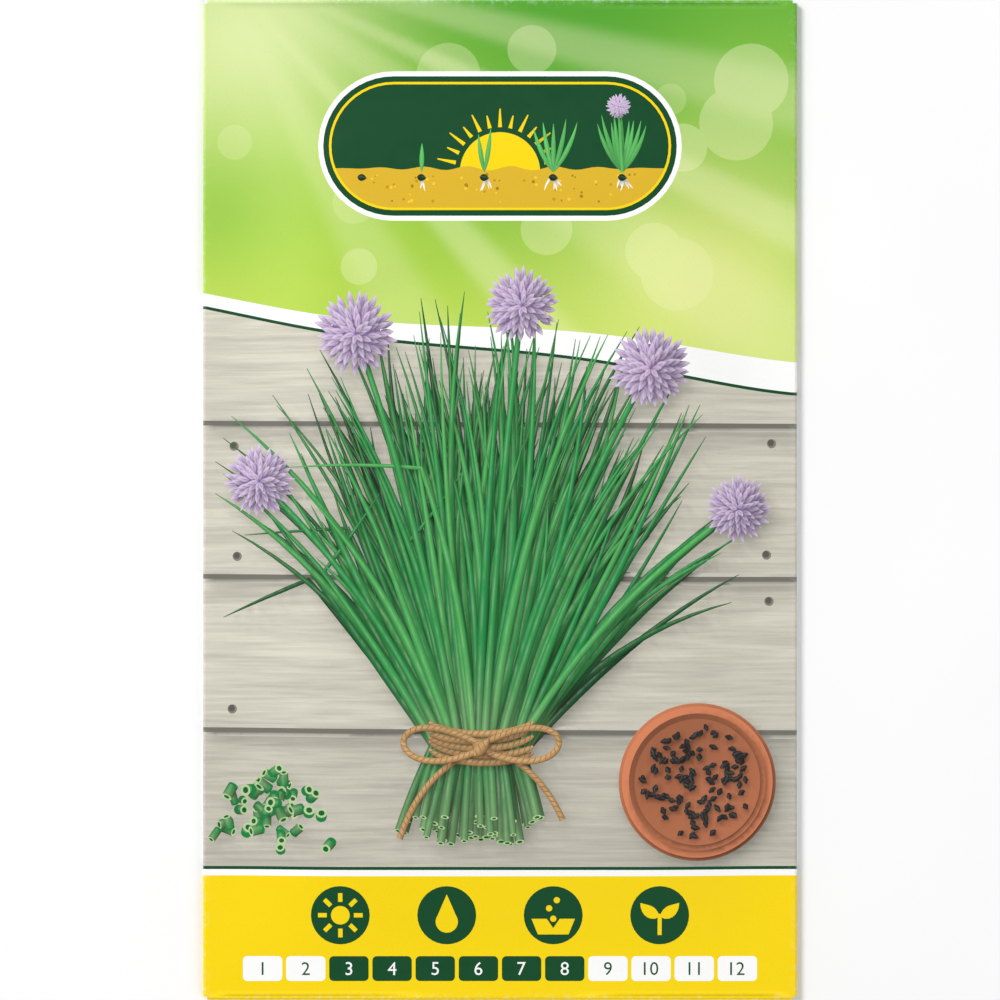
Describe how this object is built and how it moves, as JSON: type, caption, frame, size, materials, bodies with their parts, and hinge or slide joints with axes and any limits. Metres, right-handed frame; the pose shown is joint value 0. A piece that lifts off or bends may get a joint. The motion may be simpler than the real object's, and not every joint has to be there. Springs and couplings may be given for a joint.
{
  "type": "seed packet",
  "caption": "Flat printed paper packet, one folded and glued sheet round a sealed inner sachet of seeds.",
  "frame": {"origin": "middle of the packet's outline, on the surface that its back lies on", "axes": "+Z out of the printed front, +Y towards the packet's top end, +X to the right as read"},
  "size_m": [0.095, 0.16, 0.0034],
  "materials": {
    "printed_paper": "coated paper, printed outside in greens and yellow, plain white inside",
    "adhesive": "dried packaging glue",
    "foil_laminate": "satin foil laminate",
    "seed_coat": "dry, black and finely wrinkled"
  },
  "bodies": {
    "root": {"paper_envelope": "printed_paper", "back_seam_glue": "adhesive", "top_flap_glue": "adhesive", "bottom_flap_glue": "adhesive", "sachet_back_web": "foil_laminate", "sachet_front_web": "foil_laminate", "seeds": "seed_coat"}
  },
  "joints": []
}
